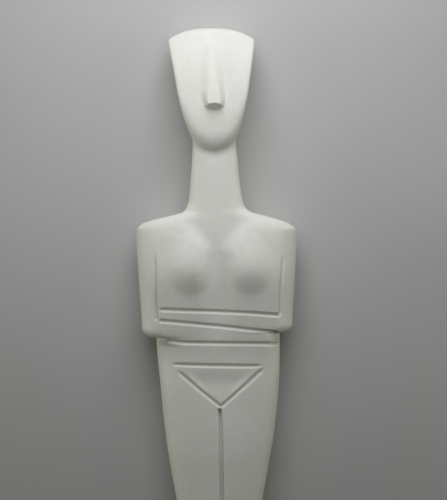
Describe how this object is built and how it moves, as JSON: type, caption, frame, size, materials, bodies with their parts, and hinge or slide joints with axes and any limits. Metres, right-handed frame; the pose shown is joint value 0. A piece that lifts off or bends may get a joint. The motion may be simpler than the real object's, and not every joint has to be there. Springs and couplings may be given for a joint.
{
  "type": "folded-arm figurine",
  "caption": "Slim standing-figure statuette in the Cycladic style, arms folded over the belly, cast in one piece; it lies on its back.",
  "frame": {"origin": "middle of the figure's length and width, on the surface that its back rests on", "axes": "+X towards the figure's left side, +Y towards its head, +Z out of its front"},
  "size_m": [0.072, 0.3001, 0.03],
  "materials": {
    "plaster": "matte off-white casting plaster, smooth, with a few small casting nodules and pits"
  },
  "bodies": {
    "root": {"figurine": "plaster"}
  },
  "joints": []
}
